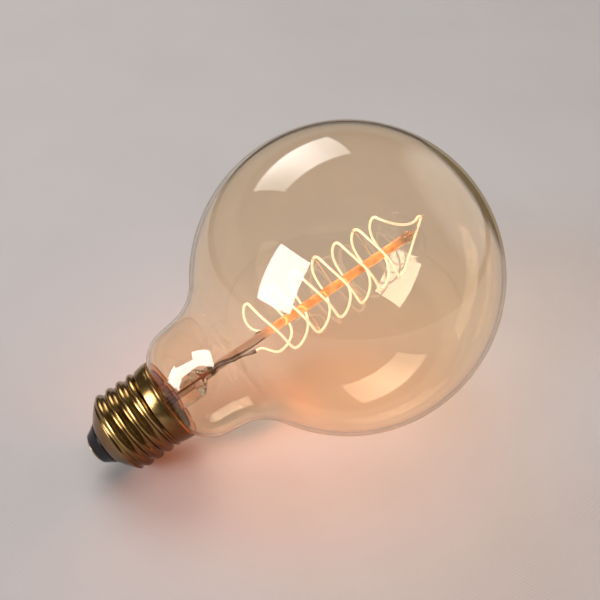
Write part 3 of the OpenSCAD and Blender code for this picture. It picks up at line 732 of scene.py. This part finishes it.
def makeSupports():
    points, faces, s = [], [], supports
    for n in range(1, winding["halfTurns"]):
        bend = strandPoint(n, -1)
        out = Vector((bend.x, bend.y, 0)).normalized()
        foot = out * s["foot"] + alongDir * bend.z
        ahead = (strandPoint(n + s["beside"], -1) - strandPoint(n - s["beside"], -1)).normalized()
        up = out.cross(ahead).normalized()
        curl = [bend - out * s["curlFrom"]]
        for k in range(s["curlPoints"]):
            a = math.radians(s["curlStart"] + s["curlStep"] * k)
            slide = ahead * (s["slide"] * k - s["slideStart"])
            curl.append(bend + (out * math.cos(a) + up * math.sin(a)) * s["curl"] + slide)
        path = smoothPath([foot, foot.lerp(curl[0], 0.5)] + curl, s["spacing"])
        more, moreFaces = evenWire(path, s["radius"], s["sides"])
        faces += [tuple(len(points) + i for i in face) for face in moreFaces]
        points += more
    addPiece("curledSupports", (points, faces), supportWire, ("filament_supports",), 50)


makeLead("clampedLeadA", -1, leadTopA, strandA, "inner_lead_a")
makeLead("clampedLeadB", 1, leadTopB, strandB, "inner_lead_b")
makeHook()
makeSupports()
print("stage: wires are made")

# The rolled screw shell with its collar, as one sheet
cap = {"crest": 13.15, "depth": 1.05, "pitch": 3.63, "crestAt": 10.3, "grooves": 4, "sheet": 0.4,
       "collar": 13.3, "rim": 27.7, "edgeAt": 4.7, "edge": 7.1, "bulge": 0.2, "rampBack": 0.6, "ramp": 1.3,
       "plainOn": 0.8, "barrel": 0.5, "barrelBack": 1.2, "bead": 0.06, "beadDown": 0.75, "beadWidth": 0.22,
       "rimRound": 0.12, "rimStep": 0.05, "rimThin": 0.1, "columns": 120, "row": 0.17, "plainRows": 14}
lastRoot = cap["crestAt"] + (cap["grooves"] - 0.5) * cap["pitch"]
plainAt = lastRoot + cap["plainOn"]


def shellRadius(z, a):
    # a thread of round crests and roots, which ends in the cone at the tip and in the ramp up to the collar
    p, d = cap["pitch"], cap["depth"]
    root = cap["crest"] - d
    arc = ((p / 2) ** 2 + d * d) / (4 * d)
    s = (z - cap["crestAt"] - p * (a - bendTurn) / (2 * math.pi)) / p
    s = abs(s - round(s)) * p
    if s < p / 4:
        thread = cap["crest"] - arc + math.sqrt(arc * arc - s * s)
    else:
        thread = root + arc - math.sqrt(arc * arc - (p / 2 - s) ** 2)
    ramp = root + (cap["collar"] - root) * smoothStep((z - lastRoot + cap["rampBack"]) / cap["ramp"])
    u = (z - cap["edgeAt"]) / (cap["crestAt"] - cap["edgeAt"])
    cone = cap["edge"] + (cap["crest"] + cap["sheet"] - cap["edge"]) * (u + cap["bulge"] * u * (1 - u))
    return min(cone, max(thread, ramp)) if u < 1 else max(thread, ramp)


def collarShape(z):
    # what the collar's round rim, its bead and its barrel shape take off the radius
    rounding = z - cap["rim"] + cap["rimRound"]
    ease = 0.0
    if rounding >= 0:
        ease = cap["rimRound"] - math.sqrt(max(0.0, cap["rimRound"] ** 2 - rounding ** 2))
    bead = cap["bead"] * math.exp(-((z - cap["rim"] + cap["beadDown"]) / cap["beadWidth"]) ** 2)
    if z > plainAt - cap["barrelBack"]:
        bead += cap["barrel"] * max(0.0, min(1.0, (cap["rim"] - z) / (cap["rim"] - plainAt))) ** 2
    return ease + bead


def makeShell():
    columns, rim = cap["columns"], cap["rim"]
    count = int((plainAt - cap["edgeAt"]) / cap["row"])
    heights = [cap["edgeAt"] + (plainAt - cap["edgeAt"]) * k / count for k in range(count + 1)]
    plainRows = cap["plainRows"]
    heights += [plainAt + (rim - cap["rimRound"] - plainAt) * k / plainRows for k in range(1, plainRows + 1)]
    heights += [rim - cap["rimStep"], rim]
    turns = [2 * math.pi * k / columns for k in range(columns)]
    outer = [[shellRadius(z, a) - collarShape(z) for a in turns] for z in heights]
    inner = []
    for i, ring in enumerate(outer):
        thin = cap["rimThin"] if i > len(outer) - 3 else 0
        inner.append([r - cap["sheet"] + thin for r in ring])
    points = []
    for z, ring in zip(heights + heights[::-1], outer + inner[::-1]):
        points += [(r * math.cos(a), r * math.sin(a), z) for r, a in zip(ring, turns)]
    faces = ringFaces(2 * len(heights), columns, closed=True)
    addPiece("rolledShell", (points, faces), brass, ("screw_shell",), 50)


makeShell()

# The cap's end: black glass insulator, contact plate and its solder
capEnd = {"bore": 0.15, "face": 1.0, "contact": 3.9, "beside": 0.15, "step": (0.1, 0.12),
          "insulator": 5.2, "round": 0.7, "roundTurns": (270, 326), "top": 7.7, "sides": 96,
          "skirt": ((5.6, 2.25), (6.2, 3.2), (6.68, 3.95), (6.9, 4.32), (6.98, 4.5), (6.95, 4.6)),
          "inside": ((6.6, 4.61), (6.6, 4.72), (7.9, 5.7), (9.2, 6.72), (10.2, 7.7))}
contact = {"low": 0.4, "dish": (1.1, 0.9, 0.06), "round": 0.26, "roundUp": 0.3, "roundTurns": (265, 430),
           "gap": 0.03, "sides": 80}
bead = {"rows": ((0.0, 0.0), (1.3, 0.0), (1.52, 0.03), (1.7, 0.12), (1.82, 0.24), (1.9, 0.37), (0.0, 0.37)),
        "most": 1.99, "lobes": (3, 7), "lobeDepths": (0.05, 0.03), "lobeTurn": 0.7, "calmRows": 2,
        "calm": 0.2, "sides": 48}
endSteps = 8  # points in each small round of the cap's end


def makeInsulator():
    e = capEnd
    step, rise = e["step"]
    edge = e["contact"] + e["beside"]
    middle = (e["insulator"] - e["round"], e["face"] + e["round"])
    profile = [(e["bore"], e["face"]), (edge, e["face"]), (edge + step, e["face"] + rise)]
    profile += arcPoints(middle, e["round"], *e["roundTurns"], endSteps)
    profile += [*e["skirt"], *e["inside"], (e["bore"], e["top"])]
    shape = turned(profile, e["sides"])
    addPiece("blackInsulator", shape, blackGlass, ("base_insulator",), 50)


def makeContact():
    c, edge = contact, capEnd["contact"]
    dishFrom, dishTo, dishRise = c["dish"]
    middle = (edge - c["round"], c["low"] + c["roundUp"])
    profile = [(capEnd["bore"], c["low"]), (edge - dishFrom, c["low"]), (edge - dishTo, c["low"] + dishRise)]
    profile += arcPoints(middle, c["round"], *c["roundTurns"], endSteps)
    profile += [(capEnd["bore"], capEnd["face"] - c["gap"])]
    shape = turned(profile, c["sides"])
    addPiece("contactPlate", shape, contactBrass, ("centre_contact",), 50)


def makeContactSolder():
    b, points = bead, []
    for i, (r, z) in enumerate(b["rows"]):
        for k in range(b["sides"]):
            a = 2 * math.pi * k / b["sides"]
            lobes = b["lobeDepths"][0] * math.sin(b["lobes"][0] * a + b["lobeTurn"])
            lobes += b["lobeDepths"][1] * math.sin(b["lobes"][1] * a + i)
            reach = min(r * (1 + lobes * (1 if i > b["calmRows"] else b["calm"])), b["most"])
            points.append((reach * math.cos(a), reach * math.sin(a), z))
    faces = ringFaces(len(b["rows"]), b["sides"])
    addPiece("contactSolder", (points, faces), solder, ("contact_solder",), 50)


keptSharp = 40  # degrees


def finishKeptNodes():
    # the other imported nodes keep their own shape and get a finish
    keptNodes = {"seal_wire_a": sealWire, "seal_wire_b": sealWire, "outer_lead_side": copperWire,
                 "outer_lead_centre": copperWire, "fuse_link": nickelWire, "basing_cement": cement,
                 "side_solder": solder}
    for nodeName, material in keptNodes.items():
        node = frame["nodes"][nodeName]
        for slot in node.material_slots:
            slot.material = material
        for polygon in node.data.polygons:
            polygon.use_smooth = True
        node.data.set_sharp_from_angle(angle=math.radians(keptSharp))


makeInsulator()
makeContact()
makeContactSolder()
finishKeptNodes()
print("stage: cap is made")

# The floor is a plain pale cloth with fine twill ribs that change their slant from band to band
floorLook = {"size": 1.0, "squares": 40, "clothEnd": (0.46, 0.5), "rough": 0.85,
             "color": (0.53, 0.515, 0.51, 1), "shade": (0.475, 0.458, 0.452, 1),
             "turn": 23.5, "ribStep": 0.0016, "ribSlope": 1.18, "band": 0.045, "ribBump": 0.1, "waver": 0.02,
             "foldScale": 9, "foldDetail": 3, "foldBump": 0.12, "foldDepth": 0.02}
dimRoom = (0.085, 0.065, 0.05, 1)


def ribWaves(tree, cloud):
    place = tree.nodes.new("ShaderNodeTexCoord")
    turn = tree.nodes.new("ShaderNodeMapping")
    turn.inputs["Rotation"].default_value = (0, 0, math.radians(floorLook["turn"]))
    tree.links.new(place.outputs["Object"], turn.inputs["Vector"])
    split = tree.nodes.new("ShaderNodeSeparateXYZ")
    tree.links.new(turn.outputs["Vector"], split.inputs["Vector"])
    slant = mathNode(tree, "PINGPONG", split.outputs["Y"], floorLook["band"])
    slant = mathNode(tree, "MULTIPLY", slant, floorLook["ribSlope"])
    phase = mathNode(tree, "ADD", split.outputs["X"], slant)
    phase = mathNode(tree, "ADD", phase, mathNode(tree, "MULTIPLY", cloud, floorLook["waver"]))
    return mathNode(tree, "SINE", mathNode(tree, "MULTIPLY", phase, 2 * math.pi / floorLook["ribStep"]))


def clothOrRoom(tree, cloth):
    # painted reflection: for mirror rays the cloth's colour turns to the dark room's a little way off, as if
    # the cloth ended there
    place = tree.nodes.new("ShaderNodeTexCoord")
    apart = tree.nodes.new("ShaderNodeVectorMath")
    apart.operation = "LENGTH"
    tree.links.new(place.outputs["Object"], apart.inputs[0])
    ends = rangeNode(tree, apart.outputs["Value"], floorLook["clothEnd"], eased=False)
    path = tree.nodes.new("ShaderNodeLightPath")
    past = mathNode(tree, "MULTIPLY", ends, path.outputs["Glossy Depth"])
    return mixNode(tree, past, cloth, dimRoom)


def makeFloor():
    squares, width = floorLook["squares"], 2 * floorLook["size"]
    bpy.ops.mesh.primitive_grid_add(x_subdivisions=squares, y_subdivisions=squares, size=width)
    floor = bpy.context.active_object
    floor.name = "clothFloor"
    material, tree, shader = newMaterial("paleCloth")
    shader.inputs["Roughness"].default_value = floorLook["rough"]
    cloud = noiseNode(tree, floorLook["foldScale"], floorLook["foldDetail"])
    cloth = mixNode(tree, cloud, floorLook["color"], floorLook["shade"])
    tree.links.new(clothOrRoom(tree, cloth), shader.inputs["Base Color"])
    folds = bumpNode(tree, cloud, floorLook["foldBump"], floorLook["foldDepth"])
    fine = bumpNode(tree, ribWaves(tree, cloud), floorLook["ribBump"], grainDepth, under=folds)
    tree.links.new(fine, shader.inputs["Normal"])
    floor.data.materials.append(material)


# Two large soft panels, weaker ones that no mirror image shows, and the filament's light on what is near it
backPanel = {"direction": (-0.072, 0.75, 0.658), "distance": 3.0, "size": (2.34, 1.4),
             "color": (1.0, 0.97, 0.96)}
panels = {"leftSoftbox": {"direction": (-0.899, -0.222, 0.376), "distance": 3.0, "size": (1.43, 2.04),
                          "power": 88, "color": (1.0, 0.97, 0.98), "mirrored": True},
          "backSoftbox": {**backPanel, "power": 56, "fade": (0.85, 0.42), "mirrored": True},
          "fillPanel": {"direction": (0.1, 0.08, 1.0), "distance": 0.75, "size": (0.5, 0.5),
                        "power": 1.1, "color": (1.0, 0.985, 0.975), "mirrored": False},
          "backFillPanel": {**backPanel, "power": 23, "mirrored": False}}
panelAim = (0.0186, 0, 0.0475)
filamentGlow = {"places": ((61, 0.21), (96, 0.05)), "drop": 0.02, "color": (1.0, 0.26, 0.09), "size": 0.012}
roomLook = {"wall": (0.85, 0.82, 0.8, 1), "wallSide": (0.95, 0.17, 0.26), "wallReach": (0.82, 0.94),
            "backdrop": (0.54, 0.525, 0.515, 1), "bandReach": (0.36, 0.22), "backReach": (-0.6, -0.2)}


def newLamp(name, kind, power, color):
    data = bpy.data.lights.new(name, kind)
    data.energy = power
    data.color = color
    lamp = bpy.data.objects.new(name, data)
    bpy.context.scene.collection.objects.link(lamp)
    lamp.visible_camera = False
    return lamp


def hideFromMirrors(lamp):
    lamp.visible_glossy = False
    lamp.visible_transmission = False


def fadePanel(data, middle, end):
    # a panel that is brightest in the middle and fades towards its two ends
    data.use_nodes = True
    tree = data.node_tree
    place = tree.nodes.new("ShaderNodeNewGeometry")
    split = tree.nodes.new("ShaderNodeSeparateXYZ")
    tree.links.new(place.outputs["Parametric"], split.inputs["Vector"])
    apart = mathNode(tree, "ABSOLUTE", mathNode(tree, "SUBTRACT", split.outputs["X"], 0.5))
    strength = rangeNode(tree, apart, (0.0, 0.5), (middle, end))
    tree.links.new(strength, tree.nodes["Emission"].inputs["Strength"])


def addPanel(name, plan):
    panel = newLamp(name, "AREA", plan["power"], plan["color"])
    panel.data.shape = "RECTANGLE"
    panel.data.size, panel.data.size_y = plan["size"]
    direction = Vector(plan["direction"]).normalized()
    panel.location = Vector(panelAim) + direction * plan["distance"]
    panel.rotation_euler = direction.to_track_quat("Z", "Y").to_euler()
    if "fade" in plan:
        fadePanel(panel.data, *plan["fade"])
    if not plan["mirrored"]:
        hideFromMirrors(panel)


def makeLights():
    for name, plan in panels.items():
        addPanel(name, plan)
    for along, power in filamentGlow["places"]:
        glow = newLamp("filamentGlow", "POINT", power, filamentGlow["color"])
        glow.data.shadow_soft_size = filamentGlow["size"]
        glow.location = lampPoint((0, 0, along)) - Vector((0, 0, filamentGlow["drop"]))
        hideFromMirrors(glow)


def makeRoom():
    # a dim room with one pale wall, and a pale backdrop past the far edge of the floor
    world = bpy.data.worlds.new("paleRoom")
    bpy.context.scene.world = world
    world.use_nodes = True
    tree = world.node_tree
    path = tree.nodes.new("ShaderNodeLightPath").outputs
    wall = sideReach(tree, roomLook["wallSide"], roomLook["wallReach"], coordinates="Generated")
    low = sideReach(tree, (0, 0, 1), roomLook["bandReach"], coordinates="Generated")
    behind = sideReach(tree, (0, 1, 0), roomLook["backReach"], coordinates="Generated")
    band = mathNode(tree, "MULTIPLY", low, behind)
    through = mathNode(tree, "MULTIPLY", path["Is Transmission Ray"], band)
    unmirrored = mathNode(tree, "LESS_THAN", path["Glossy Depth"], 0.5)
    straight = mathNode(tree, "MULTIPLY", path["Is Transmission Ray"], unmirrored)
    seen = mathNode(tree, "MAXIMUM", path["Is Camera Ray"], mathNode(tree, "MAXIMUM", through, straight))
    room = mixNode(tree, wall, dimRoom, roomLook["wall"])
    tree.links.new(mixNode(tree, seen, room, roomLook["backdrop"]), tree.nodes["Background"].inputs["Color"])


view = {"azimuth": -23.53, "elevation": 36.0, "eye": (-0.07969, -0.19005, 0.19444), "lens": 51.0,
        "sensor": 36.0, "clipStart": 0.01}


def makeCamera():
    a, e = math.radians(view["azimuth"]), math.radians(view["elevation"])
    right = Vector((math.cos(a), math.sin(a), 0))
    up = Vector((-math.sin(a) * math.sin(e), math.cos(a) * math.sin(e), math.cos(e)))
    back = right.cross(up)
    data = bpy.data.cameras.new("photoCamera")
    data.lens = view["lens"]
    data.sensor_width = view["sensor"]
    data.clip_start = view["clipStart"]
    camera = bpy.data.objects.new("photoCamera", data)
    bpy.context.scene.collection.objects.link(camera)
    turn = Matrix((right, up, back)).transposed().to_4x4()
    camera.matrix_world = Matrix.Translation(Vector(view["eye"])) @ turn
    bpy.context.scene.camera = camera


makeFloor()
makeLights()
makeRoom()
makeCamera()
bpy.context.scene.view_settings.view_transform = "Standard"
print("stage: floor, light and camera are set")
